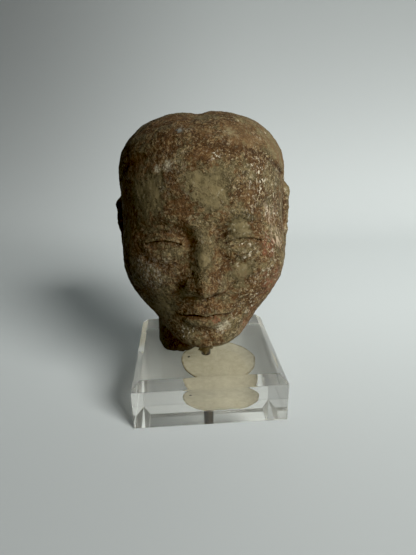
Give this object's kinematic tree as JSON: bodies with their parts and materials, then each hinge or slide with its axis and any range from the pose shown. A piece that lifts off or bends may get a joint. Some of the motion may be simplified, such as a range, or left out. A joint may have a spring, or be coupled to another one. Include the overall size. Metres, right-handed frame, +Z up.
{
  "type": "pottery head",
  "caption": "Weathered fired-clay head of a figure, broken off at the neck, held by a steel rod on a bevelled clear acrylic block.",
  "frame": {"origin": "centre of the block, on the surface that the adhesive pad under it rests on", "axes": "+Z up, the face looks along -Y, +X to the viewer's right"},
  "size_m": [0.0761, 0.0874, 0.124],
  "materials": {
    "clay": "matte",
    "acrylic": "polished",
    "rod": "satin",
    "adhesive": "satin"
  },
  "bodies": {
    "root": {"pottery_head": "clay", "clear_base": "acrylic", "support_rod": "rod", "adhesive_pad": "adhesive"}
  },
  "joints": []
}
